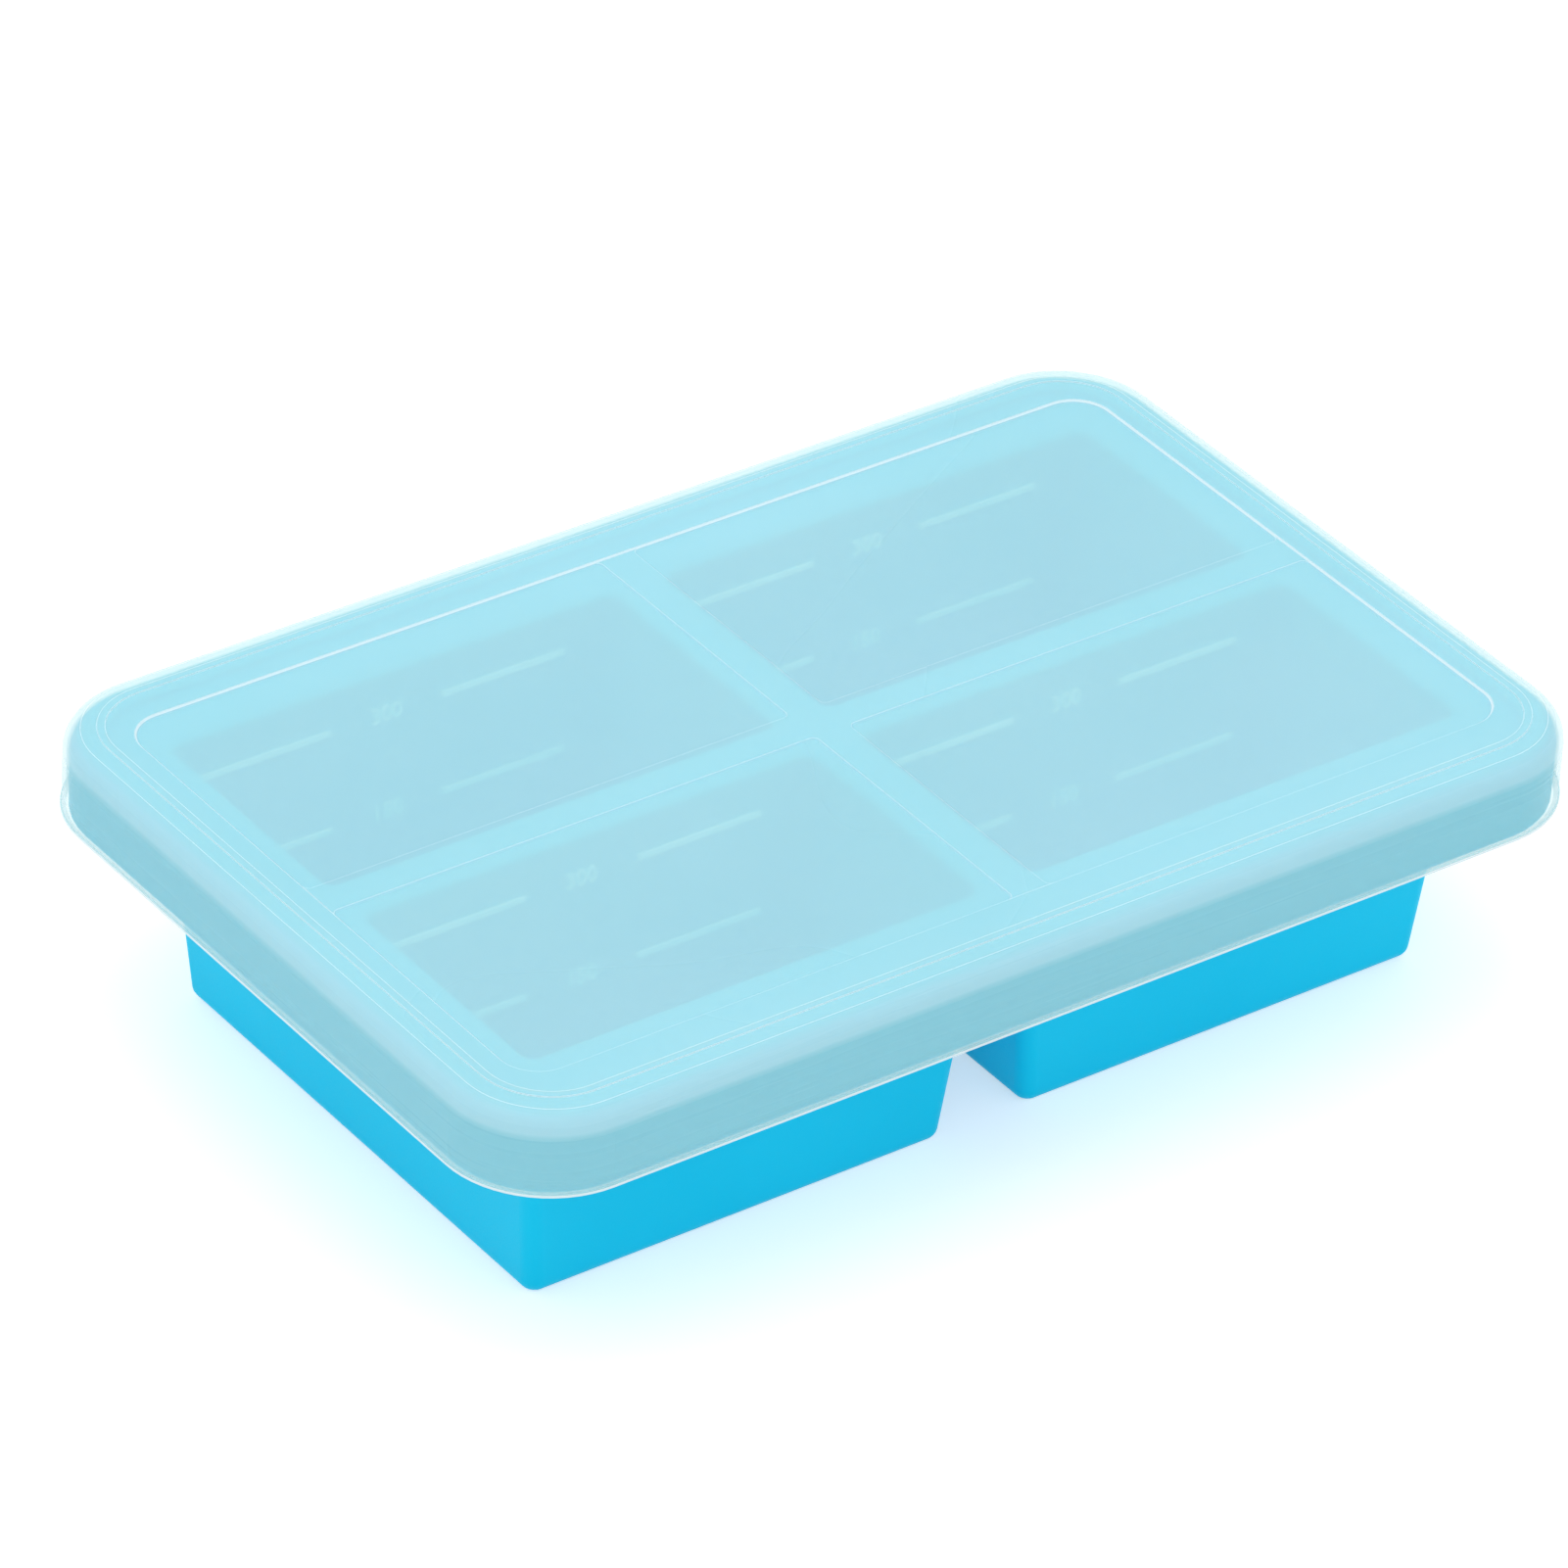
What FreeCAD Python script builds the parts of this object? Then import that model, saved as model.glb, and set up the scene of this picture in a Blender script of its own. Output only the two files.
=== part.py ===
import FreeCAD, Part
import math
import os
import re

import Sketcher
from FreeCAD import Vector

# Freezer tray with four food cups, a stiffening wire in its rim, and a clear lid.
# +X runs along the tray, +Y across it and +Z up. The origin is under the middle of the tray, on the table.

document = FreeCAD.newDocument("freezer_tray")
sheet = document.addObject("Spreadsheet::Sheet", "Sizes")

# Driving sizes in millimetres, and drafts in degrees.
SIZES = {
    # rim and deck of the tray
    "rim_length": 279.2,
    "rim_width": 182.2,
    "rim_corner": 23.0,
    "tray_height": 64.2,
    "rim_rise": 1.2,
    "rim_depth": 18.3,
    "rim_round": 4.5,
    "bead_width": 8.0,
    "bead_depth": 8.6,
    "bead_round_share": 0.45,
    "lip_wall": 3.0,
    "lip_round": 1.0,
    "deck_wall": 2.6,
    # food cups, which fill the deck between the lands along its edges
    "end_land": 19.5,
    "side_land": 24.8,
    "opening_corner": 2.5,
    "mouth_round": 1.0,
    "column_gap": 13.0,
    "row_gap": 12.6,
    "end_draft": 5.8,
    "side_draft": 3.8,
    "cup_wall": 2.2,
    "floor_wall": 2.6,
    "cup_corner": 3.5,
    "foot_round": 3.0,
    "floor_round": 2.0,
    "web_wall": 4.2,
    # fill marks, a broken line at each of two levels above the cup floor
    "lower_level": 26.5,
    "upper_level": 50.5,
    "mark_height": 0.8,
    "mark_proud": 0.5,
    "mark_left_end": 16.6,
    "mark_right_start": 11.8,
    "mark_right_end": 43.6,
    # wire in the rim
    "wire_radius": 1.5,
    "wire_inset": 4.3,
    "wire_drop": 4.6,
    "wire_clearance": 0.05,
    # lid
    "lid_top_wall": 1.4,
    "lid_side_wall": 1.0,
    "lid_side_gap": 0.4,
    "lid_top_gap": 0.3,
    "skirt_depth": 19.5,
    "shoulder_round": 5.8,
    "skirt_lip": 0.3,
    "skirt_lip_height": 0.9,
    "loop_inset": 7.2,
    "loop_width": 1.8,
    "loop_height": 0.3,
    # shallow field in the lid's top, with a panel over each cup
    "field_length": 254.6,
    "field_width": 150.4,
    "field_corner": 9.0,
    "step_depth": 0.35,
    "step_run": 0.4,
    "divider_column": 8.6,
    "divider_row": 9.2,
    "panel_corner": 1.6,
}

for row_number, (size_name, size_value) in enumerate(SIZES.items(), start=1):
    sheet.set(f"A{row_number}", size_name.replace("_", " "))
    sheet.set(f"B{row_number}", str(size_value))
    sheet.setAlias(f"B{row_number}", size_name)
document.recompute()


def formula(text):
    """Put the sheet's name before each size in a formula."""
    return re.sub("[a-z_]+", lambda word: f"Sizes.{word[0]}" if word[0] in SIZES else word[0], text)


def number(text):
    """The value of a formula, in millimetres or degrees."""
    result = sheet.evalExpression(formula(text))
    return float(getattr(result, "Value", result))


# Places that several pieces share, as formulas of the driving sizes.
DECK_TOP = "(tray_height - rim_rise)"
DECK_UNDER = "(tray_height - rim_rise - deck_wall)"
RIM_FOOT = "(tray_height - rim_depth)"
BEAD_ROUND = "(rim_rise * bead_round_share)"
RIM_HALF_X = "(rim_length / 2)"
RIM_HALF_Y = "(rim_width / 2)"
CUPS_REACH_X = "(rim_length / 2 - end_land)"
CUPS_REACH_Y = "(rim_width / 2 - side_land)"
OPENING_HALF_X = f"(({CUPS_REACH_X} - column_gap / 2) / 2)"
OPENING_HALF_Y = f"(({CUPS_REACH_Y} - row_gap / 2) / 2)"
COLUMN_CENTRE = f"(({CUPS_REACH_X} + column_gap / 2) / 2)"
ROW_CENTRE = f"(({CUPS_REACH_Y} + row_gap / 2) / 2)"
END_SLOPE = "tan(end_draft * 1 deg)"
SIDE_SLOPE = "tan(side_draft * 1 deg)"
LID_FOOT = "(lid_top_wall - skirt_depth)"
LID_INSIDE_HALF_X = "(rim_length / 2 + lid_side_gap)"
LID_INSIDE_HALF_Y = "(rim_width / 2 + lid_side_gap)"

COLUMNS = {"left": -1, "right": 1}
ROWS = {"front": -1, "back": 1}

# The straights and the corners of a rounded rectangle.
OUTLINE_EDGES = 8

# How far apart two heights, two places (mm) and two volumes (cubic mm) may be and still count as equal.
SAME_HEIGHT = 0.001
SAME_PLACE = 0.05
SAME_VOLUME = 0.001


def new_body(name):
    """An empty body."""
    body = document.addObject("PartDesign::Body", name)
    body.Label = name
    return body


def origin_plane(body, role):
    """One of a body's own origin planes."""
    return next(feature for feature in body.Origin.OriginFeatures if feature.Role == role)


def level_sketch(body, name, height, centre=("0", "0")):
    """A flat sketch at a height, with its origin over a centre that is given as two formulas."""
    sketch = body.newObject("Sketcher::SketchObject", name)
    sketch.AttachmentSupport = [(origin_plane(body, "XY_Plane"), "")]
    sketch.MapMode = "FlatFace"
    sketch.setExpression("AttachmentOffset.Base.x", formula(centre[0]))
    sketch.setExpression("AttachmentOffset.Base.y", formula(centre[1]))
    sketch.setExpression("AttachmentOffset.Base.z", formula(height))
    return sketch


def drive(sketch, constraint, text):
    """Add a constraint and tie its value to a formula."""
    index = sketch.addConstraint(constraint)
    sketch.setExpression(f"Constraints[{index}]", formula(text))


def add_outline(sketch, half_x, half_y, corners):
    """A rectangle about the sketch's origin, with a rounded corner in each quadrant.

    The corner radii go round from the first quadrant: +X +Y, -X +Y, -X -Y, +X -Y.
    """
    reach_x = number(half_x)
    reach_y = number(half_y)
    quadrants = ((1, 1, 0.0), (-1, 1, 90.0), (-1, -1, 180.0), (1, -1, 270.0))
    arcs = []
    for (sign_x, sign_y, start), corner in zip(quadrants, corners):
        radius = number(corner)
        centre = Vector(sign_x * (reach_x - radius), sign_y * (reach_y - radius), 0)
        circle = Part.Circle(centre, Vector(0, 0, 1), radius)
        arc = Part.ArcOfCircle(circle, math.radians(start), math.radians(start + 90.0))
        arcs.append(sketch.addGeometry(arc, False))
    sides = []
    for arc, following in zip(arcs, arcs[1:] + arcs[:1]):
        line = Part.LineSegment(sketch.getPoint(arc, 2), sketch.getPoint(following, 1))
        side = sketch.addGeometry(line, False)
        sides.append(side)
        sketch.addConstraint(Sketcher.Constraint("Tangent", arc, 2, side, 1))
        sketch.addConstraint(Sketcher.Constraint("Tangent", side, 2, following, 1))
    back, left, front, right = sides
    sketch.addConstraint(Sketcher.Constraint("Horizontal", back))
    sketch.addConstraint(Sketcher.Constraint("Horizontal", front))
    sketch.addConstraint(Sketcher.Constraint("Vertical", left))
    sketch.addConstraint(Sketcher.Constraint("Vertical", right))
    for arc, corner in zip(arcs, corners):
        drive(sketch, Sketcher.Constraint("Radius", arc, number(corner)), corner)
    drive(sketch, Sketcher.Constraint("DistanceX", -1, 1, right, 1, reach_x), half_x)
    drive(sketch, Sketcher.Constraint("DistanceX", left, 1, -1, 1, reach_x), half_x)
    drive(sketch, Sketcher.Constraint("DistanceY", -1, 1, back, 1, reach_y), half_y)
    drive(sketch, Sketcher.Constraint("DistanceY", front, 1, -1, 1, reach_y), half_y)


def inset_sketch(body, name, height, outline, insets):
    """A sketch of one or two rounded rectangles, each drawn in from an outline by an inset."""
    half_x, half_y, corner = outline
    sketch = level_sketch(body, name, height)
    for inset in insets:
        add_outline(sketch, f"({half_x} - {inset})", f"({half_y} - {inset})", [f"({corner} - {inset})"] * 4)
    return sketch


def add_box(sketch, low_x, high_x, low_y, high_y):
    """A plain rectangle in a sketch, between four formulas."""
    points = [
        Vector(number(low_x), number(low_y), 0),
        Vector(number(high_x), number(low_y), 0),
        Vector(number(high_x), number(high_y), 0),
        Vector(number(low_x), number(high_y), 0),
    ]
    sides = []
    for start, end in zip(points, points[1:] + points[:1]):
        sides.append(sketch.addGeometry(Part.LineSegment(start, end), False))
    for side, following in zip(sides, sides[1:] + sides[:1]):
        sketch.addConstraint(Sketcher.Constraint("Coincident", side, 2, following, 1))
    front, right, back, left = sides
    sketch.addConstraint(Sketcher.Constraint("Horizontal", front))
    sketch.addConstraint(Sketcher.Constraint("Horizontal", back))
    sketch.addConstraint(Sketcher.Constraint("Vertical", left))
    sketch.addConstraint(Sketcher.Constraint("Vertical", right))
    drive(sketch, Sketcher.Constraint("DistanceX", -1, 1, front, 1, number(low_x)), low_x)
    drive(sketch, Sketcher.Constraint("DistanceX", -1, 1, front, 2, number(high_x)), high_x)
    drive(sketch, Sketcher.Constraint("DistanceY", -1, 1, front, 1, number(low_y)), low_y)
    drive(sketch, Sketcher.Constraint("DistanceY", -1, 1, back, 1, number(high_y)), high_y)


def raise_up(body, name, sketch, length):
    """Pad a sketch upwards."""
    pad = body.newObject("PartDesign::Pad", name)
    pad.Profile = sketch
    pad.setExpression("Length", formula(length))
    document.recompute()
    return pad


def make_sure_it_cuts(body, name, before):
    """Stop if a cut has left a body's volume as it was before."""
    document.recompute()
    if body.Shape.Volume >= before - SAME_VOLUME:
        raise RuntimeError(f"{name} cuts nothing")


def cut_away(body, name, sketch, length, upwards):
    """Pocket a sketch, upwards or downwards."""
    before = body.Shape.Volume
    pocket = body.newObject("PartDesign::Pocket", name)
    pocket.Profile = sketch
    pocket.Reversed = upwards
    pocket.setExpression("Length", formula(length))
    make_sure_it_cuts(body, name, before)
    return pocket


def cut_between(body, name, upper, lower):
    """A recess with straight sides between two sketches."""
    before = body.Shape.Volume
    loft = body.newObject("PartDesign::SubtractiveLoft", name)
    loft.Profile = upper
    loft.Sections = [lower]
    loft.Ruled = True
    make_sure_it_cuts(body, name, before)
    return loft


def edges_where(shape, test):
    """The names of the edges whose bounding box and middle point pass a test."""
    names = []
    for index, edge in enumerate(shape.Edges, start=1):
        middle = edge.valueAt((edge.FirstParameter + edge.LastParameter) / 2)
        if test(edge.BoundBox, middle):
            names.append(f"Edge{index}")
    return names


def is_level(box, height):
    """Whether a bounding box is flat at a height."""
    return max(abs(box.ZMin - height), abs(box.ZMax - height)) < SAME_HEIGHT


def is_on_outline(middle, outline, inset="0"):
    """Whether a point is over a rounded outline about the origin, drawn in by an inset."""
    half_x, half_y, corner = (number(f"({size} - {inset})") for size in outline)
    beyond_x = max(abs(middle.x) - (half_x - corner), 0.0)
    beyond_y = max(abs(middle.y) - (half_y - corner), 0.0)
    if beyond_x == 0.0 or beyond_y == 0.0:
        return abs(max(abs(middle.x) - half_x, abs(middle.y) - half_y)) < SAME_PLACE
    return abs(math.hypot(beyond_x, beyond_y) - corner) < SAME_PLACE


def round_edges(body, name, feature, edge_names, radius):
    """Fillet the named edges of a body's last feature."""
    fillet = body.newObject("PartDesign::Fillet", name)
    fillet.Base = (feature, edge_names)
    fillet.setExpression("Radius", formula(radius))
    document.recompute()
    return fillet


def round_outline(body, name, feature, height, outline, inset, radius):
    """Fillet the flat edges at a height that lie over an outline drawn in by an inset."""
    level = number(height)
    names = edges_where(
        body.Shape,
        lambda box, middle: is_level(box, level) and is_on_outline(middle, outline, inset),
    )
    return round_edges(body, name, feature, names, radius)


def add_rim_and_deck(body):
    """The deck, the thick bead round it and the lip turned down outside."""
    outline = (RIM_HALF_X, RIM_HALF_Y, "rim_corner")
    block = inset_sketch(body, "rim_outline", RIM_FOOT, outline, ["0"])
    raise_up(body, "rim_block", block, "rim_depth")
    deck = inset_sketch(body, "deck_outline", "tray_height", outline, ["bead_width"])
    cut_away(body, "deck_face", deck, "rim_rise", False)
    under_deck = inset_sketch(body, "under_deck_outline", RIM_FOOT, outline, ["bead_width"])
    cut_away(body, "under_deck", under_deck, f"({DECK_UNDER} - {RIM_FOOT})", True)
    under_bead = inset_sketch(body, "under_bead_outline", RIM_FOOT, outline, ["lip_wall"])
    feature = cut_away(body, "under_bead", under_bead, "(rim_depth - bead_depth)", True)
    feature = round_outline(body, "rim_rounding", feature, "tray_height", outline, "0", "rim_round")
    feature = round_outline(
        body, "bead_foot_rounding", feature, DECK_TOP, outline, "bead_width", BEAD_ROUND
    )
    feature = round_outline(
        body, "bead_rounding", feature, "tray_height", outline, "bead_width", BEAD_ROUND
    )
    feature = round_outline(body, "lip_outer_rounding", feature, RIM_FOOT, outline, "0", "lip_round")
    round_outline(body, "lip_inner_rounding", feature, RIM_FOOT, outline, "lip_wall", "lip_round")


def wedge_half_sizes(height, offset):
    """Half of a cup's length and width at a height, as formulas.

    The inner wall is at the opening's edge at deck height and leans in below it. Offset moves it outwards.
    """
    depth = f"({DECK_TOP} - {height})"
    half_x = f"({OPENING_HALF_X} + {offset} - {depth} * {END_SLOPE})"
    half_y = f"({OPENING_HALF_Y} + {offset} - {depth} * {SIDE_SLOPE})"
    return half_x, half_y


def add_wedge(body, name, kind, foot, top, foot_box, top_box, centre):
    """An upright block with leaning sides, added to a body or taken from it.

    Each box gives the low and high ends in x and then in y, from the centre, as formulas.
    """
    wedge = body.newObject(f"PartDesign::{kind}Wedge", name)
    wedge.AttachmentSupport = [(origin_plane(body, "XY_Plane"), "")]
    wedge.MapMode = "FlatFace"
    # The wedge grows along its own y, which this turns upwards, so that its own z points to the front.
    wedge.AttachmentOffset = FreeCAD.Placement(Vector(0, 0, 0), FreeCAD.Rotation(Vector(1, 0, 0), 90))
    wedge.setExpression("AttachmentOffset.Base.x", formula(centre[0]))
    wedge.setExpression("AttachmentOffset.Base.y", formula(centre[1]))
    sizes = {
        "Ymin": foot,
        "Ymax": top,
        "Xmin": foot_box[0],
        "Xmax": foot_box[1],
        "Zmin": f"(0 - {foot_box[3]})",
        "Zmax": f"(0 - {foot_box[2]})",
        "X2min": top_box[0],
        "X2max": top_box[1],
        "Z2min": f"(0 - {top_box[3]})",
        "Z2max": f"(0 - {top_box[2]})",
    }
    for size, text in sizes.items():
        wedge.setExpression(size, formula(text))
    document.recompute()
    return wedge


def box_about_centre(half_x, half_y):
    """The ends of a rectangle about a centre, as formulas."""
    return f"(0 - {half_x})", half_x, f"(0 - {half_y})", half_y


def add_cup_wedges(body, suffix, kind, foot, top, offset):
    """One wedge at each cup, either its outer form or its hollow."""
    foot_box = box_about_centre(*wedge_half_sizes(foot, offset))
    top_box = box_about_centre(*wedge_half_sizes(top, offset))
    for column_name, column in COLUMNS.items():
        for row_name, row in ROWS.items():
            centre = (f"({column} * {COLUMN_CENTRE})", f"({row} * {ROW_CENTRE})")
            add_wedge(body, f"{column_name}_{row_name}_{suffix}", kind, foot, top, foot_box, top_box, centre)


def web_box(column, height):
    """The ends of one end web at a height, as formulas. It runs from cup wall to cup wall."""
    depth = f"({DECK_TOP} - {height})"
    outer_face = f"({CUPS_REACH_X} + cup_wall - {depth} * {END_SLOPE})"
    inner_face = f"({outer_face} - web_wall)"
    half_y = f"(row_gap / 2 - cup_wall / 2 + {depth} * {SIDE_SLOPE})"
    if column > 0:
        return inner_face, outer_face, f"(0 - {half_y})", half_y
    return f"(0 - {outer_face})", f"(0 - {inner_face})", f"(0 - {half_y})", half_y


def add_end_webs(body):
    """The walls that close the gap between the two rows of cups at both ends, flush with the end walls."""
    for column_name, column in COLUMNS.items():
        boxes = (web_box(column, "0"), web_box(column, DECK_UNDER))
        add_wedge(body, f"{column_name}_web", "Additive", "0", DECK_UNDER, *boxes, ("0", "0"))


def stands_between(box, low, high):
    """Whether a bounding box spans two heights."""
    return abs(box.ZMin - low) < SAME_HEIGHT and abs(box.ZMax - high) < SAME_HEIGHT


def round_cup_outsides(body):
    """Round the standing edges of the cups and then the edges at their feet."""
    under = number(DECK_UNDER)
    web_outside = number(f"({CUPS_REACH_X} + cup_wall)")
    web_inside = web_outside - number(f"({DECK_TOP} * {END_SLOPE} + web_wall)")
    gap_reach = number(f"(row_gap / 2 + {DECK_TOP} * {SIDE_SLOPE})")

    def is_cup_corner(box, middle):
        beside_web = abs(middle.x) > web_inside and abs(middle.y) < gap_reach
        return stands_between(box, 0.0, under) and not beside_web

    def is_foot(box, middle):
        on_web_inside = abs(abs(middle.x) - web_inside) < SAME_PLACE and abs(middle.y) < gap_reach
        return is_level(box, 0.0) and abs(middle.x) < web_outside and not on_web_inside

    corners = edges_where(body.Shape, is_cup_corner)
    feature = round_edges(body, "corner_rounding", body.Tip, corners, "cup_corner")
    round_edges(body, "foot_rounding", feature, edges_where(body.Shape, is_foot), "foot_round")


def round_cup_hollows(body):
    """Round the standing edges inside the cups, then the edges of their floors and mouths."""
    floor = number("floor_wall")
    deck = number(DECK_TOP)
    reach_x = number(CUPS_REACH_X) + SAME_PLACE
    reach_y = number(CUPS_REACH_Y) + SAME_PLACE
    corners = edges_where(body.Shape, lambda box, middle: stands_between(box, floor, deck))
    feature = round_edges(body, "hollow_corner_rounding", body.Tip, corners, "opening_corner")
    floors = edges_where(body.Shape, lambda box, middle: is_level(box, floor))
    feature = round_edges(body, "floor_rounding", feature, floors, "floor_round")
    mouths = edges_where(
        body.Shape,
        lambda box, middle: is_level(box, deck) and abs(middle.x) < reach_x and abs(middle.y) < reach_y,
    )
    round_edges(body, "mouth_rounding", feature, mouths, "mouth_round")


def add_fill_marks(body, level_name):
    """Raised lines on the cups' back walls at one level, broken in the middle to leave room for a numeral."""
    foot = f"(floor_wall + {level_name} - mark_height / 2)"
    depth = f"({DECK_TOP} - {foot})"
    left_wall = f"({OPENING_HALF_X} + cup_wall / 2 - {depth} * {END_SLOPE})"
    back_wall = f"({OPENING_HALF_Y} - {depth} * {SIDE_SLOPE})"
    spans = ((f"(0 - {left_wall})", "(0 - mark_left_end)"), ("mark_right_start", "mark_right_end"))
    sketch = level_sketch(body, f"{level_name}_outline", foot)
    for column in COLUMNS.values():
        for row in ROWS.values():
            centre_x = f"({column} * {COLUMN_CENTRE})"
            low_y = f"({row} * {ROW_CENTRE} + {back_wall} - mark_proud)"
            high_y = f"({row} * {ROW_CENTRE} + {back_wall} + cup_wall / 2)"
            for low_x, high_x in spans:
                add_box(sketch, f"({centre_x} + {low_x})", f"({centre_x} + {high_x})", low_y, high_y)
    raise_up(body, f"{level_name}_marks", sketch, "mark_height")


def wire_path(body):
    """The line that the middle of the wire follows round the bead."""
    outline = (RIM_HALF_X, RIM_HALF_Y, "rim_corner")
    return inset_sketch(body, f"{body.Name}_wire_path", "(tray_height - wire_drop)", outline, ["wire_inset"])


def wire_section(body, radius):
    """A circle across the wire's path, at the middle of the front side."""
    sketch = body.newObject("Sketcher::SketchObject", f"{body.Name}_wire_section")
    sketch.AttachmentSupport = [(origin_plane(body, "YZ_Plane"), "")]
    sketch.MapMode = "FlatFace"
    across = f"(wire_inset - {RIM_HALF_Y})"
    up = "(tray_height - wire_drop)"
    centre = Vector(number(across), number(up), 0)
    circle = sketch.addGeometry(Part.Circle(centre, Vector(0, 0, 1), number(radius)), False)
    drive(sketch, Sketcher.Constraint("DistanceX", -1, 1, circle, 3, number(across)), across)
    drive(sketch, Sketcher.Constraint("DistanceY", -1, 1, circle, 3, number(up)), up)
    drive(sketch, Sketcher.Constraint("Radius", circle, number(radius)), radius)
    return sketch


def sweep_wire(body, name, kind, radius):
    """An additive or subtractive pipe of the given radius along the wire's path."""
    pipe = body.newObject(f"PartDesign::{kind}Pipe", name)
    path = wire_path(body)
    section = wire_section(body, radius)
    document.recompute()
    pipe.Profile = section
    pipe.Spine = (path, [f"Edge{index}" for index in range(1, OUTLINE_EDGES + 1)])
    pipe.Mode = "Frenet"
    document.recompute()
    return pipe


def make_tray():
    """The moulded tray: rim, deck, four cups, end webs, fill marks and the channel that holds the wire."""
    body = new_body("tray")
    add_rim_and_deck(body)
    add_cup_wedges(body, "cup", "Additive", "0", DECK_UNDER, "cup_wall")
    add_end_webs(body)
    round_cup_outsides(body)
    before = body.Shape.Volume
    add_cup_wedges(body, "hollow", "Subtractive", "floor_wall", DECK_TOP, "0")
    make_sure_it_cuts(body, "cup hollows", before)
    round_cup_hollows(body)
    add_fill_marks(body, "lower_level")
    add_fill_marks(body, "upper_level")
    before = body.Shape.Volume
    sweep_wire(body, "wire_hollow", "Subtractive", "(wire_radius + wire_clearance)")
    make_sure_it_cuts(body, "wire_hollow", before)
    return body


def make_rim_wire():
    """The steel wire that stiffens the rim."""
    body = new_body("rim_wire")
    sweep_wire(body, "wire", "Additive", "wire_radius")
    return body


def add_lid_shell(body):
    """The lid's flat top, rounded shoulder and skirt, with a thin lip round the foot of the skirt."""
    inside = (LID_INSIDE_HALF_X, LID_INSIDE_HALF_Y, "rim_corner")
    outer = "(0 - lid_side_wall)"
    block = inset_sketch(body, "lid_outline", LID_FOOT, inside, [outer])
    raise_up(body, "lid_block", block, "skirt_depth")
    hollow = inset_sketch(body, "hollow_outline", LID_FOOT, inside, ["0"])
    feature = cut_away(body, "lid_hollow", hollow, "(skirt_depth - lid_top_wall)", True)
    inner_round = "(shoulder_round - lid_side_wall)"
    feature = round_outline(body, "inner_shoulder", feature, "0", inside, "0", inner_round)
    round_outline(body, "outer_shoulder", feature, "lid_top_wall", inside, outer, "shoulder_round")
    lip_insets = ["(0 - lid_side_wall - skirt_lip)", "(0 - lid_side_wall / 2)"]
    lip = inset_sketch(body, "lip_outline", LID_FOOT, inside, lip_insets)
    raise_up(body, "skirt_lip_ring", lip, "skirt_lip_height")


def add_loop_line(body):
    """The fine raised line that runs round the lid just inside the shoulder."""
    outer_inset = "(loop_inset - lid_side_wall)"
    inner_inset = f"({outer_inset} + loop_width)"
    inside = (LID_INSIDE_HALF_X, LID_INSIDE_HALF_Y, "rim_corner")
    foot = "(lid_top_wall - loop_height)"
    sketch = inset_sketch(body, "loop_outline", foot, inside, [outer_inset, inner_inset])
    raise_up(body, "loop_line", sketch, "(2 * loop_height)")


def recess(body, name, height, half_x, half_y, corners, centre):
    """A shallow step down from a height, with sloped sides that stay inside the given outline."""
    upper = level_sketch(body, f"{name}_top", height, centre)
    add_outline(upper, half_x, half_y, corners)
    lower = level_sketch(body, f"{name}_floor", f"({height} - step_depth)", centre)
    shrunk = [f"({corner} - step_run)" for corner in corners]
    add_outline(lower, f"({half_x} - step_run)", f"({half_y} - step_run)", shrunk)
    cut_between(body, name, upper, lower)


def add_panels(body):
    """The shallow field in the lid's top and a panel over each cup, parted by a cross of dividers."""
    half_x = "(field_length / 2)"
    half_y = "(field_width / 2)"
    recess(body, "field", "lid_top_wall", half_x, half_y, ["field_corner"] * 4, ("0", "0"))
    outer_x = f"({half_x} - step_run)"
    outer_y = f"({half_y} - step_run)"
    inner_x = "(divider_column / 2)"
    inner_y = "(divider_row / 2)"
    quadrants = [(1, 1), (-1, 1), (-1, -1), (1, -1)]
    for column_name, column in COLUMNS.items():
        for row_name, row in ROWS.items():
            centre = (f"({column} * ({outer_x} + {inner_x}) / 2)", f"({row} * ({outer_y} + {inner_y}) / 2)")
            corners = ["panel_corner"] * 4
            corners[quadrants.index((column, row))] = "(field_corner - step_run)"
            recess(
                body,
                f"{column_name}_{row_name}_panel",
                "(lid_top_wall - step_depth)",
                f"(({outer_x} - {inner_x}) / 2)",
                f"(({outer_y} - {inner_y}) / 2)",
                corners,
                centre,
            )


def make_lid():
    """The clear lid, drawn with the underside of its top at height zero and then put on the tray."""
    body = new_body("lid")
    add_lid_shell(body)
    add_loop_line(body)
    add_panels(body)
    body.setExpression("Placement.Base.z", formula("(tray_height + lid_top_gap)"))
    document.recompute()
    return body


def write_steps(bodies):
    """Check every object in the document and write one STEP file for each body."""
    faulty = [item.Name for item in document.Objects if {"Invalid", "Error"} & set(item.State)]
    if faulty:
        raise RuntimeError(f"objects in error: {faulty}")
    for body in bodies:
        if body.Shape.isNull() or not body.Shape.isValid():
            raise RuntimeError(f"{body.Label} has no valid shape")
        if len(body.Shape.Solids) != 1:
            raise RuntimeError(f"{body.Label} is not one solid")
    os.makedirs("parts", exist_ok=True)
    for body in bodies:
        body.Shape.exportStep(f"parts/{body.Label}.step")
        box = body.Shape.optimalBoundingBox()
        print(f"{body.Label}: {box.XLength:.1f} x {box.YLength:.1f} x {box.ZLength:.1f} mm")


pieces = [make_tray(), make_rim_wire(), make_lid()]
write_steps(pieces)
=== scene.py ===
"""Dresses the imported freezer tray: soft blue silicone, a steel wire and a frosted lid, in a pale studio."""

from __future__ import annotations

import logging
import math
from dataclasses import dataclass
from enum import Enum

import bpy
from mathutils import Matrix, Vector


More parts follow.
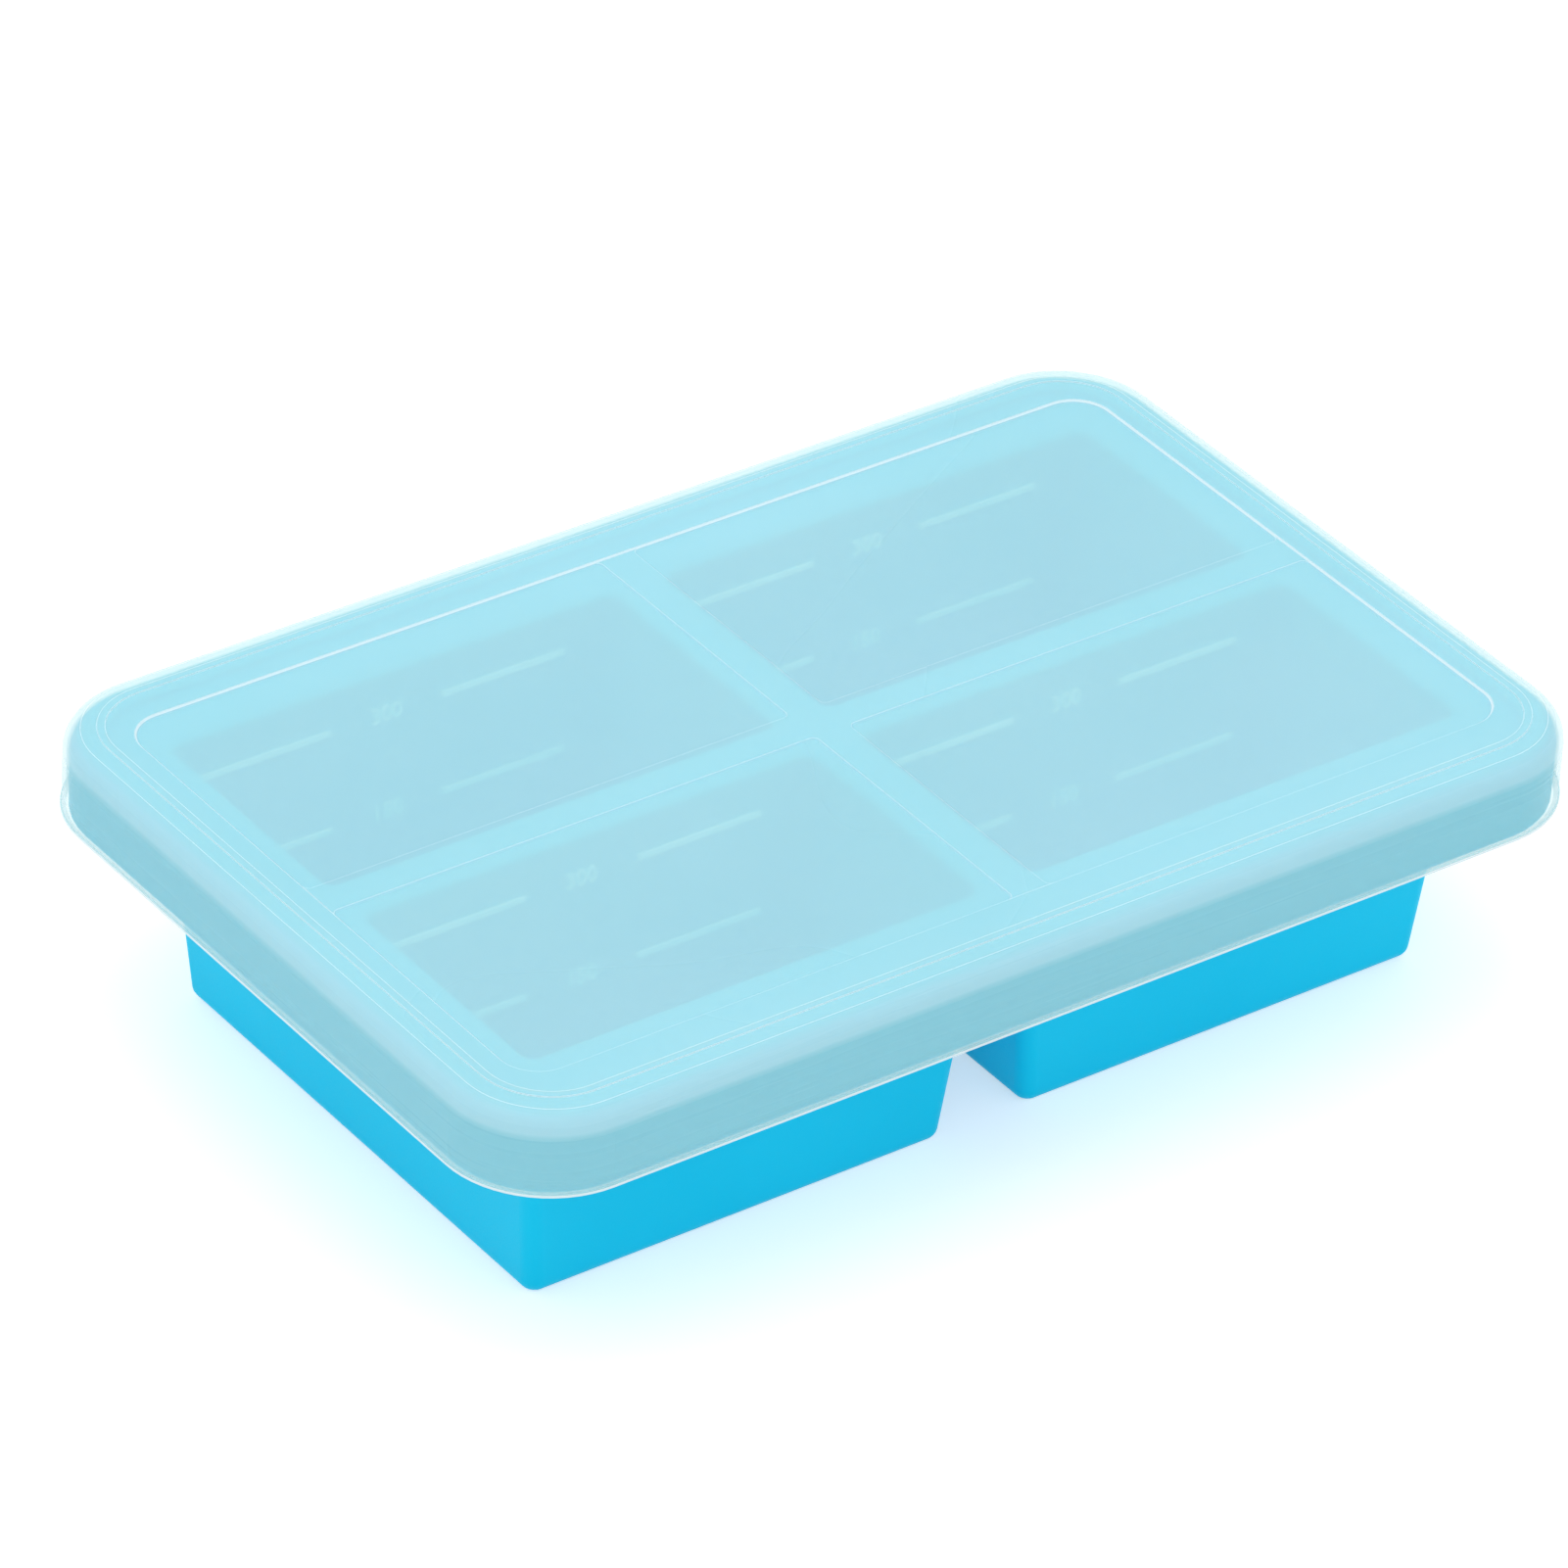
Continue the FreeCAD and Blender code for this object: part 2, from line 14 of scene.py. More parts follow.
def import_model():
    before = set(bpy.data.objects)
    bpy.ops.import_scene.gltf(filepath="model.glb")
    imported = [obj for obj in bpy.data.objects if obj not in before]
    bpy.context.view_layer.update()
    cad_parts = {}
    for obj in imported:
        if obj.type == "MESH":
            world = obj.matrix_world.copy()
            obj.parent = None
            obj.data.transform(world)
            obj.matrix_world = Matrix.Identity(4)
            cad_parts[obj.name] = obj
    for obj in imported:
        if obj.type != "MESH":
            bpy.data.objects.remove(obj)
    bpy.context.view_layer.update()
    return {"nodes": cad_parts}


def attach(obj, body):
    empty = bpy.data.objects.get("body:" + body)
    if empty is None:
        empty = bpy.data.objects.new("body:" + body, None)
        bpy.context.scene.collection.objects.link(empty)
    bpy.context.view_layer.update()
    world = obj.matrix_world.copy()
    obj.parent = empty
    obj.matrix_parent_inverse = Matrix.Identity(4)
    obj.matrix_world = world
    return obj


LOG = logging.getLogger("freezer_tray")
MILLIMETRE = 0.001
Colour = tuple[float, float, float, float]


def srgb(red: int, green: int, blue: int) -> Colour:
    """Turn a named screen colour into the linear colour that shaders use.

    Args:
        red: Red from 0 to 255.
        green: Green from 0 to 255.
        blue: Blue from 0 to 255.

    Returns:
        The linear colour, opaque.
    """

    def linear(channel: int) -> float:
        """Linear value of one channel."""
        share = channel / 255.0
        return share / 12.92 if share <= 0.04045 else ((share + 0.055) / 1.055) ** 2.4

    return linear(red), linear(green), linear(blue), 1.0


class Node(Enum):
    """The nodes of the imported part. Each body is named after its main node."""

    TRAY = "tray"
    RIM_WIRE = "rim_wire"
    LID = "lid"


class FillLevel(Enum):
    """The figures of each fill mark, and its height above the cup's floor."""

    FULL = ("300", 50.5 * MILLIMETRE)
    HALF = ("150", 26.5 * MILLIMETRE)


class Mix(Enum):
    """What a mix node mixes, with the numbers of its two inputs and of its output."""

    VALUE = ("FLOAT", 2, 3, 0)
    COLOUR = ("RGBA", 6, 7, 2)


class NodeTree:
    """A thin helper for building a material's node tree in code."""

    def __init__(self, name: str) -> None:
        """Start an empty material.

        Args:
            name: The material's name.
        """
        self.material = bpy.data.materials.new(name)
        self.material.use_nodes = True
        self.tree = self.material.node_tree
        self.tree.nodes.clear()
        self.output = self.tree.nodes.new("ShaderNodeOutputMaterial")
        self.coordinates = self.tree.nodes.new("ShaderNodeTexCoord")

    def add(self, kind: str, **settings: object) -> bpy.types.Node:
        """Add a node and set its properties.

        Args:
            kind: The node's type without the leading ShaderNode.
            settings: Properties of the node.

        Returns:
            The new node.
        """
        node = self.tree.nodes.new(f"ShaderNode{kind}")
        for name, value in settings.items():
            setattr(node, name, value)
        return node

    def link(self, source: bpy.types.NodeSocket, target: bpy.types.NodeSocket) -> None:
        """Join two sockets."""
        self.tree.links.new(source, target)

    def placed(self, stretch: tuple[float, float, float]) -> bpy.types.NodeSocket:
        """Object coordinates, stretched along the axes.

        Args:
            stretch: The factor along each axis.

        Returns:
            The vector socket.
        """
        mapping = self.add("Mapping")
        mapping.inputs["Scale"].default_value = stretch
        self.link(self.coordinates.outputs["Object"], mapping.inputs["Vector"])
        return mapping.outputs["Vector"]

    def noise(
        self, scale: float, detail: float, stretch: tuple[float, float, float] = (1.0, 1.0, 1.0)
    ) -> bpy.types.NodeSocket:
        """A noise pattern in object space.

        Args:
            scale: Waves per metre.
            detail: Octaves of the noise.
            stretch: The factor along each axis.

        Returns:
            The noise's value, from 0 to 1.
        """
        node = self.add("TexNoise")
        node.inputs["Scale"].default_value = scale
        node.inputs["Detail"].default_value = detail
        self.link(self.placed(stretch), node.inputs["Vector"])
        return node.outputs["Fac"]

    def spread(
        self, value: bpy.types.NodeSocket, low: float, high: float, start: float = 0.3, end: float = 0.7
    ) -> bpy.types.NodeSocket:
        """Map a pattern's middle range to a new range.

        Args:
            value: The pattern.
            low: The result at start.
            high: The result at end.
            start: The pattern's value that gives low.
            end: The pattern's value that gives high.

        Returns:
            The mapped value.
        """
        node = self.add("MapRange")
        node.inputs["From Min"].default_value = start
        node.inputs["From Max"].default_value = end
        node.inputs["To Min"].default_value = low
        node.inputs["To Max"].default_value = high
        self.link(value, node.inputs["Value"])
        return node.outputs["Result"]

    def mixed(self, share: bpy.types.NodeSocket, first: Colour, second: Colour) -> bpy.types.NodeSocket:
        """Mix two colours by a share.

        Args:
            share: How much of the second colour.
            first: The colour at 0.
            second: The colour at 1.

        Returns:
            The mixed colour.
        """
        data_type, first_input, second_input, output = Mix.COLOUR.value
        node = self.add("Mix", data_type=data_type)
        node.inputs[first_input].default_value = first
        node.inputs[second_input].default_value = second
        self.link(share, node.inputs[0])
        return node.outputs[output]

    def layered(
        self, mix: Mix, share: bpy.types.NodeSocket, under: bpy.types.NodeSocket, over: float | Colour
    ) -> bpy.types.NodeSocket:
        """Lay a constant over a pattern by a share.

        Args:
            mix: What is mixed.
            share: How much of the constant shows.
            under: The pattern.
            over: The constant.

        Returns:
            The layered value or colour.
        """
        data_type, first_input, second_input, output = mix.value
        node = self.add("Mix", data_type=data_type)
        self.link(share, node.inputs[0])
        self.link(under, node.inputs[first_input])
        node.inputs[second_input].default_value = over
        return node.outputs[output]

    def maths(
        self, operation: str, first: bpy.types.NodeSocket, second: bpy.types.NodeSocket | float | None = None
    ) -> bpy.types.NodeSocket:
        """Work out a value.

        Args:
            operation: The kind of sum.
            first: The first value.
            second: The second value, a socket or a constant, where the sum takes one.

        Returns:
            The result.
        """
        node = self.add("Math", operation=operation)
        self.link(first, node.inputs[0])
        if isinstance(second, bpy.types.NodeSocket):
            self.link(second, node.inputs[1])
        elif second is not None:
            node.inputs[1].default_value = second
        return node.outputs[0]

    def bumped(
        self, layers: list[tuple[bpy.types.NodeSocket, float]], strength: float
    ) -> bpy.types.NodeSocket:
        """Stack bump layers.

        Args:
            layers: Each layer's pattern and its height in metres.
            strength: The strength of every layer.

        Returns:
            The bumped normal.
        """
        normal = None
        for pattern, height in layers:
            node = self.add("Bump")
            node.inputs["Strength"].default_value = strength
            node.inputs["Distance"].default_value = height
            self.link(pattern, node.inputs["Height"])
            if normal is not None:
                self.link(normal, node.inputs["Normal"])
            normal = node.outputs["Normal"]
        return normal


@dataclass(frozen=True)
class SiliconeFinish:
    """Satin moulded silicone, coloured all through, with a weak painted glow."""

    name: str = "blue_silicone"
    light: Colour = srgb(18, 200, 239)
    dark: Colour = srgb(11, 194, 234)
    roughness_low: float = 0.40
    roughness_high: float = 0.52
    cloud_scale: float = 14.0
    cloud_detail: float = 3.0
    grain_scale: float = 2600.0
    grain_detail: float = 2.0
    grain_height: float = 0.02 * MILLIMETRE
    ripple_scale: float = 45.0
    ripple_detail: float = 1.0
    ripple_height: float = 0.12 * MILLIMETRE
    relief: float = 0.6
    glow_through: float = 0.12
    glow_reach: tuple[float, float, float] = (0.2, 0.8, 1.0)
    glow_depth: float = 3.0 * MILLIMETRE
    # Painted glow: a weak blue emission lifts shaded faces and cup insides, standing in for light that passes
    # through the soft walls.
    painted_glow_colour: Colour = srgb(0, 205, 225)
    painted_glow_strength: float = 0.14
    shine: float = 0.14

    def material(self) -> bpy.types.Material:
        """Build the material."""
        nodes = NodeTree(self.name)
        shader = nodes.add("BsdfPrincipled")
        clouds = nodes.noise(self.cloud_scale, self.cloud_detail)
        grain = nodes.noise(self.grain_scale, self.grain_detail)
        ripple = nodes.noise(self.ripple_scale, self.ripple_detail)
        colour = nodes.mixed(nodes.spread(clouds, 0.0, 1.0), self.dark, self.light)
        nodes.link(colour, shader.inputs["Base Color"])
        nodes.link(nodes.spread(grain, self.roughness_low, self.roughness_high), shader.inputs["Roughness"])
        nodes.link(
            nodes.bumped([(ripple, self.ripple_height), (grain, self.grain_height)], self.relief),
            shader.inputs["Normal"],
        )
        shader.inputs["Specular IOR Level"].default_value = self.shine
        shader.inputs["Subsurface Weight"].default_value = self.glow_through
        shader.inputs["Subsurface Radius"].default_value = self.glow_reach
        shader.inputs["Subsurface Scale"].default_value = self.glow_depth
        # Painted glow: the weak blue emission set above, though the silicone is no lamp.
        shader.inputs["Emission Color"].default_value = self.painted_glow_colour
        shader.inputs["Emission Strength"].default_value = self.painted_glow_strength
        nodes.link(shader.outputs["BSDF"], nodes.output.inputs["Surface"])
        return nodes.material


@dataclass(frozen=True)
class WireFinish:
    """Plain drawn steel wire."""

    bright: Colour = (0.62, 0.63, 0.65, 1.0)
    dull: Colour = (0.45, 0.46, 0.48, 1.0)
    roughness_low: float = 0.25
    roughness_high: float = 0.45
    draw_scale: float = 900.0
    draw_detail: float = 4.0
    draw_height: float = 0.01 * MILLIMETRE
    relief: float = 0.5

    def material(self) -> bpy.types.Material:
        """Build the material."""
        nodes = NodeTree("drawn_steel")
        shader = nodes.add("BsdfPrincipled")
        marks = nodes.noise(self.draw_scale, self.draw_detail)
        nodes.link(nodes.mixed(marks, self.dull, self.bright), shader.inputs["Base Color"])
        nodes.link(nodes.spread(marks, self.roughness_low, self.roughness_high), shader.inputs["Roughness"])
        nodes.link(nodes.bumped([(marks, self.draw_height)], self.relief), shader.inputs["Normal"])
        shader.inputs["Metallic"].default_value = 1.0
        nodes.link(shader.outputs["BSDF"], nodes.output.inputs["Surface"])
        return nodes.material


@dataclass(frozen=True)
class FrostedFinish:
    """Thin frosted plastic, a pale haze over what is below it, with painted highlight lines at its steps and
    foot, a painted highlight on its shoulder and painted shade on its skirt.
    """

    line_floor: float
    foot_ceiling: float
    top: Colour = srgb(209, 250, 249)
    top_milky: Colour = srgb(200, 247, 246)
    # Painted shade: the upright faces of the skirt take this deeper colour.
    skirt: Colour = srgb(188, 237, 237)
    # Painted highlight on the sloping shoulder, where the haze is also a little thicker.
    shoulder_highlight: Colour = srgb(210, 246, 249)
    # Painted highlight: near white on the step edges and along the foot, where the haze is also much thicker.
    line: Colour = srgb(244, 254, 255)
    top_haze: float = 0.42
    skirt_haze: float = 0.37
    edge_haze: float = 0.46
    line_haze: float = 0.74
    line_reach: float = 0.34 * MILLIMETRE
    line_slope: float = 0.94
    line_samples: int = 4
    half_level: float = 0.5
    tilt_start: float = 0.02
    tilt_end: float = 0.25
    light_bending: float = 1.49
    roughness_low: float = 0.22
    roughness_high: float = 0.36
    flow_scale: float = 9.0
    flow_detail: float = 3.0
    frost_scale: float = 1500.0
    frost_detail: float = 2.0
    frost_height: float = 0.02 * MILLIMETRE
    streak_scale: float = 22.0
    streak_detail: float = 3.0
    streak_stretch: tuple[float, float, float] = (0.12, 0.12, 9.0)
    streak_height: float = 0.12 * MILLIMETRE
    relief: float = 0.5

    def material(self) -> bpy.types.Material:
        """Build the material."""
        nodes = NodeTree("frosted_lid")
        shader = nodes.add("BsdfPrincipled")
        frost = nodes.noise(self.frost_scale, self.frost_detail)
        streaks = nodes.noise(self.streak_scale, self.streak_detail, self.streak_stretch)
        level, tilt = self.slopes(nodes)
        lines = self.painted_highlight_lines(nodes)
        nodes.link(self.colour(nodes, level, tilt, lines), shader.inputs["Base Color"])
        roughness = nodes.spread(streaks, self.roughness_low, self.roughness_high)
        nodes.link(roughness, shader.inputs["Roughness"])
        nodes.link(
            nodes.bumped([(streaks, self.streak_height), (frost, self.frost_height)], self.relief),
            shader.inputs["Normal"],
        )
        shader.inputs["IOR"].default_value = self.light_bending
        haze = nodes.spread(level, self.skirt_haze, self.top_haze, 0.0, 1.0)
        for share, thicker in ((tilt, self.edge_haze), (lines, self.line_haze)):
            haze = nodes.layered(Mix.VALUE, share, haze, thicker)
        nodes.link(haze, shader.inputs["Alpha"])
        self.let_lamps_through(nodes, shader)
        return nodes.material

    def slopes(self, nodes: NodeTree) -> tuple[bpy.types.NodeSocket, bpy.types.NodeSocket]:
        """How level the surface is, and how near to a slope between level and upright.

        Args:
            nodes: The material's tree.

        Returns:
            The levelness, 1 on the top and 0 on the skirt, and the tilt, 1 on the middle of the shoulder.
        """
        geometry = nodes.add("NewGeometry")
        split = nodes.add("SeparateXYZ")
        nodes.link(geometry.outputs["Normal"], split.inputs["Vector"])
        level = nodes.maths("ABSOLUTE", split.outputs["Z"])
        fold = nodes.maths("PINGPONG", level, self.half_level)
        return level, nodes.spread(fold, 0.0, 1.0, self.tilt_start, self.tilt_end)

    def painted_highlight_lines(self, nodes: NodeTree) -> bpy.types.NodeSocket:
        """Find the edges of the steps on the lid's top, and the skirt's foot, where highlight lines are
        painted.

        Args:
            nodes: The material's tree.

        Returns:
            A share, 1 on the lines and 0 elsewhere.
        """
        place = nodes.add("SeparateXYZ")
        nodes.link(nodes.coordinates.outputs["Object"], place.inputs["Vector"])
        rounded = nodes.add("Bevel", samples=self.line_samples)
        rounded.inputs["Radius"].default_value = self.line_reach
        facing = nodes.add("SeparateXYZ")
        nodes.link(rounded.outputs["Normal"], facing.inputs["Vector"])
        level = nodes.maths("ABSOLUTE", facing.outputs["Z"])
        high = nodes.maths("GREATER_THAN", place.outputs["Z"], self.line_floor)
        steep = nodes.maths("LESS_THAN", level, self.line_slope)
        low = nodes.maths("LESS_THAN", place.outputs["Z"], self.foot_ceiling)
        return nodes.maths("MAXIMUM", nodes.maths("MULTIPLY", high, steep), low)

    def colour(
        self,
        nodes: NodeTree,
        level: bpy.types.NodeSocket,
        tilt: bpy.types.NodeSocket,
        lines: bpy.types.NodeSocket,
    ) -> bpy.types.NodeSocket:
        """The haze's colour: a little cloudy on the top, with painted shade on the skirt and a painted
        highlight on the shoulder and lines.

        Args:
            nodes: The material's tree.
            level: How level the surface is.
            tilt: How near it is to a slope.
            lines: Where the painted highlight lines are.

        Returns:
            The colour socket.
        """
        flow = nodes.noise(self.flow_scale, self.flow_detail)
        colour = nodes.mixed(nodes.spread(flow, 0.0, 1.0), self.top_milky, self.top)
        # Painted shade on upright faces, then painted highlights on the shoulder and the lines.
        upright = nodes.spread(level, 1.0, 0.0, 0.0, 1.0)
        for share, tint in ((upright, self.skirt), (tilt, self.shoulder_highlight), (lines, self.line)):
            colour = nodes.layered(Mix.COLOUR, share, colour, tint)
        return colour

    def let_lamps_through(self, nodes: NodeTree, shader: bpy.types.Node) -> None:
        """Let lamp light pass the thin film, as frosted plastic scatters nearly all of it onwards.

        Args:
            nodes: The material's tree.
            shader: The film's own shader.
        """
        clear = nodes.add("BsdfTransparent")
        path = nodes.add("LightPath")
        mix = nodes.add("MixShader")
        nodes.link(path.outputs["Is Shadow Ray"], mix.inputs["Fac"])
        nodes.link(shader.outputs["BSDF"], mix.inputs[1])
        nodes.link(clear.outputs["BSDF"], mix.inputs[2])
        nodes.link(mix.outputs["Shader"], nodes.output.inputs["Surface"])


@dataclass
class FillMarks:
    """Raised figures between raised lines, on the back wall of every cup, coloured near white as a painted
    highlight on their ridges.
    """

    column_centre: float = 63.3 * MILLIMETRE
    row_centre: float = 36.3 * MILLIMETRE
    deck_height: float = 63.0 * MILLIMETRE
    half_length: float = 56.8 * MILLIMETRE
    half_width: float = 30.0 * MILLIMETRE
    cup_wall: float = 2.2 * MILLIMETRE
    end_lean: float = math.radians(5.8)
    wall_lean: float = math.radians(3.8)
    figure_height: float = 5.4 * MILLIMETRE
    figure_middle: float = -2.4 * MILLIMETRE
    left_end: float = -16.6 * MILLIMETRE
    right_start: float = 11.8 * MILLIMETRE
    right_end: float = 43.6 * MILLIMETRE
    line_height: float = 1.3 * MILLIMETRE
    relief: float = 0.7 * MILLIMETRE
    sink: float = 0.3 * MILLIMETRE
    weld: float = 0.001 * MILLIMETRE

    def wall_points(self, across: float, height: float, depth: float) -> list[Vector]:
        """A point on the back wall of every cup.

        Args:
            across: How far it is to the right of the cup's middle.
            height: Its height above the table.
            depth: How far it is inside the wall.

        Returns:
            One point for each cup.
        """
        wall = self.half_width - (self.deck_height - height) * math.tan(self.wall_lean) + depth
        return [
            Vector((column * self.column_centre + across, row * self.row_centre + wall, height))
            for column in (-1, 1)
            for row in (-1, 1)
        ]

    def figures(self, material: bpy.types.Material, text: str, height: float) -> bpy.types.Object:
        """Make the figures of one mark in all the cups.

        Args:
            material: The marks' finish.
            text: The figures.
            height: The mark's height above the table.

        Returns:
            The finished piece.
        """
        tree = MarkTree("stand_figures", material)
        tree.size("Figures", "NodeSocketString")
        letters = tree.add("GeometryNodeStringToCurves", align_x="CENTER", align_y="MIDDLE")
        letters.font = bpy.data.fonts.load("<builtin>")
        tree.link(tree.size("Figure Height"), letters.inputs["Size"])
        tree.link(tree.given("Figures"), letters.inputs["String"])
        outline = tree.add("GeometryNodeRealizeInstances")
        tree.link(letters.outputs[0], outline.inputs[0])
        face = tree.add("GeometryNodeFillCurve")
        tree.link(outline.outputs[0], face.inputs["Curve"])
        raised = tree.add("GeometryNodeExtrudeMesh")
        raised.inputs["Individual"].default_value = False
        tree.link(face.outputs["Mesh"], raised.inputs["Mesh"])
        tree.link(tree.size("Depth"), raised.inputs["Offset Scale"])
        back = tree.add("GeometryNodeFlipFaces")
        tree.link(face.outputs["Mesh"], back.inputs["Mesh"])
        closed = tree.add("GeometryNodeJoinGeometry")
        tree.link(raised.outputs["Mesh"], closed.inputs["Geometry"])
        tree.link(back.outputs["Mesh"], closed.inputs["Geometry"])
        merged = tree.add("GeometryNodeMergeByDistance")
        merged.inputs["Distance"].default_value = self.weld
        tree.link(closed.outputs[0], merged.inputs["Geometry"])
        tree.stand(merged.outputs["Geometry"])
        sizes = {"Figures": text, "Figure Height": self.figure_height, "Depth": self.relief + self.sink}
        points = self.wall_points(self.figure_middle, height, self.sink)
        return tree.made(f"fill_figures_{text}", points, sizes | {"Lean": math.pi / 2 - self.wall_lean})

    def line(
        self, material: bpy.types.Material, name: str, start: float, end: float, height: float
    ) -> bpy.types.Object:
        """Make one stretch of a mark's line in all the cups.

        Args:
            material: The marks' finish.
            name: The piece's name.
            start: Its left end, from the cup's middle.
            end: Its right end, from the cup's middle.
            height: The mark's height above the table.

        Returns:
            The finished piece.
        """
        tree = MarkTree("lay_bars", material)
        bar = tree.add("GeometryNodeMeshCube")
        size = tree.add("ShaderNodeCombineXYZ")
        for axis, given in (("X", "Bar Length"), ("Y", "Bar Height"), ("Z", "Bar Depth")):
            tree.link(tree.size(given), size.inputs[axis])
        tree.link(size.outputs[0], bar.inputs["Size"])
        tree.stand(bar.outputs["Mesh"])
        sizes = {"Bar Length": end - start, "Bar Height": self.line_height, "Bar Depth": 2 * self.relief}
        points = self.wall_points((start + end) / 2, height, 0.0)
        return tree.made(name, points, sizes | {"Lean": math.pi / 2 - self.wall_lean})

    def build(self, material: bpy.types.Material, text: str, height: float) -> list[bpy.types.Object]:
        """Make one mark: its figures and the two stretches of its line.

        Args:
            material: The marks' finish.
            text: The figures.
            height: The mark's height above the table.

        Returns:
            The finished pieces.
        """
        lean = (self.deck_height - height) * math.tan(self.end_lean)
        left_wall = lean - self.half_length - self.cup_wall / 2
        return [
            self.figures(material, text, height),
            self.line(material, f"fill_line_{text}_left", left_wall, self.left_end, height),
            self.line(material, f"fill_line_{text}_right", self.right_start, self.right_end, height),
        ]


class MarkTree:
    """A geometry node tree that stands a form on the wall at every given point."""

    def __init__(self, name: str, material: bpy.types.Material) -> None:
        """Start the tree.

        Args:
            name: The tree's name.
            material: The finish of the result.
        """
        self.tree = bpy.data.node_groups.new(name, "GeometryNodeTree")
        self.material = material
        self.tree.interface.new_socket("Points", in_out="INPUT", socket_type="NodeSocketGeometry")
        self.tree.interface.new_socket("Marks", in_out="OUTPUT", socket_type="NodeSocketGeometry")
        self.start = self.add("NodeGroupInput")

    def add(self, kind: str, **settings: object) -> bpy.types.Node:
        """Add a node and set its properties."""
        node = self.tree.nodes.new(kind)
        for name, value in settings.items():
            setattr(node, name, value)
        return node

    def link(self, source: bpy.types.NodeSocket, target: bpy.types.NodeSocket) -> None:
        """Join two sockets."""
        self.tree.links.new(source, target)

    def given(self, name: str) -> bpy.types.NodeSocket:
        """The socket of a named input."""
        return self.start.outputs[name]

    def size(self, name: str, kind: str = "NodeSocketFloat") -> bpy.types.NodeSocket:
        """Add a named input and return its socket."""
        self.tree.interface.new_socket(name, in_out="INPUT", socket_type=kind)
        return self.given(name)

    def stand(self, form: bpy.types.NodeSocket) -> None:
        """End the tree: stand the form at each point, leaning with the wall, and give it its finish."""
        turn = self.add("ShaderNodeCombineXYZ")
        self.link(self.size("Lean"), turn.inputs["X"])
        stood = self.add("GeometryNodeInstanceOnPoints")
        self.link(self.given("Points"), stood.inputs["Points"])
        self.link(form, stood.inputs["Instance"])
        self.link(turn.outputs[0], stood.inputs["Rotation"])
        real = self.add("GeometryNodeRealizeInstances")
        self.link(stood.outputs["Instances"], real.inputs[0])
        dressed = self.add("GeometryNodeSetMaterial")
        dressed.inputs["Material"].default_value = self.material
        self.link(real.outputs[0], dressed.inputs["Geometry"])
        end = self.add("NodeGroupOutput")
        self.link(dressed.outputs["Geometry"], end.inputs["Marks"])

    def made(self, name: str, places: list[Vector], sizes: dict[str, object]) -> bpy.types.Object:
        """Run the tree on points and keep its result as a plain mesh on the tray.

        Args:
            name: The piece's name.
            places: The points.
            sizes: The value of each named input.

        Returns:
            The finished piece.
        """
        points = bpy.data.meshes.new(f"{name}_points")
        points.from_pydata(places, [], [])
        holder = bpy.data.objects.new(f"{name}_holder", points)
        bpy.context.scene.collection.objects.link(holder)
        modifier = holder.modifiers.new("marks", "NODES")
        modifier.node_group = self.tree
        for socket in self.tree.interface.items_tree:
            if socket.in_out == "INPUT" and socket.name in sizes:
                modifier[socket.identifier] = sizes[socket.name]
        graph = bpy.context.evaluated_depsgraph_get()
        mesh = bpy.data.meshes.new_from_object(holder.evaluated_get(graph))
        bpy.data.objects.remove(holder)
        piece = bpy.data.objects.new(name, mesh)
        bpy.context.scene.collection.objects.link(piece)
        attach(piece, Node.TRAY.value)
        return piece


@dataclass
class FreezerTray:
    """The silicone tray with its wire and fill marks."""

    nodes: dict[str, bpy.types.Object]
    cup_floor: float = 2.6 * MILLIMETRE
    # Painted highlight: the marks are the cup's own silicone, coloured near white here for the light their
    # ridges catch.
    painted_highlight_pale: Colour = srgb(232, 252, 255)
    painted_highlight_deep: Colour = srgb(222, 250, 255)

    def dress(self) -> None:
        """Give the tray and the wire their finishes, and add the fill marks."""
        dress_node(self.nodes[Node.TRAY.value], SiliconeFinish().material())
        dress_node(self.nodes[Node.RIM_WIRE.value], WireFinish().material())
        # The marks' finish is the silicone with a painted highlight colour.
        highlight_finish = SiliconeFinish(name="silicone_painted_highlight", light=self.painted_highlight_pale, dark=self.painted_highlight_deep)
        material = highlight_finish.material()
        marks = FillMarks()
        for fill in FillLevel:
            text, level = fill.value
            for piece in marks.build(material, text, self.cup_floor + level):
                LOG.info("%s: %d faces", piece.name, len(piece.data.polygons))


@dataclass
class FrostedLid:
    """The lid."""

    nodes: dict[str, bpy.types.Object]
    stepped_depth: float = 0.7 * MILLIMETRE
    foot_line: float = 0.6 * MILLIMETRE

    def dress(self) -> None:
        """Give the lid its finish, with painted highlight lines only where its top steps and at its foot."""
        lid = self.nodes[Node.LID.value]
        heights = [corner[2] for corner in lid.bound_box]
        finish = FrostedFinish(
            line_floor=max(heights) - self.stepped_depth,
            foot_ceiling=min(heights) + self.foot_line,
        )
        dress_node(lid, finish.material())


def dress_node(node: bpy.types.Object, material: bpy.types.Material) -> None:
    """Put a material in every slot of a carried-over node.

    Args:
        node: The node's object.
        material: Its finish.
    """
    for slot in node.material_slots:
        slot.material = material
    LOG.info("%s: %d faces", node.name, len(node.data.polygons))


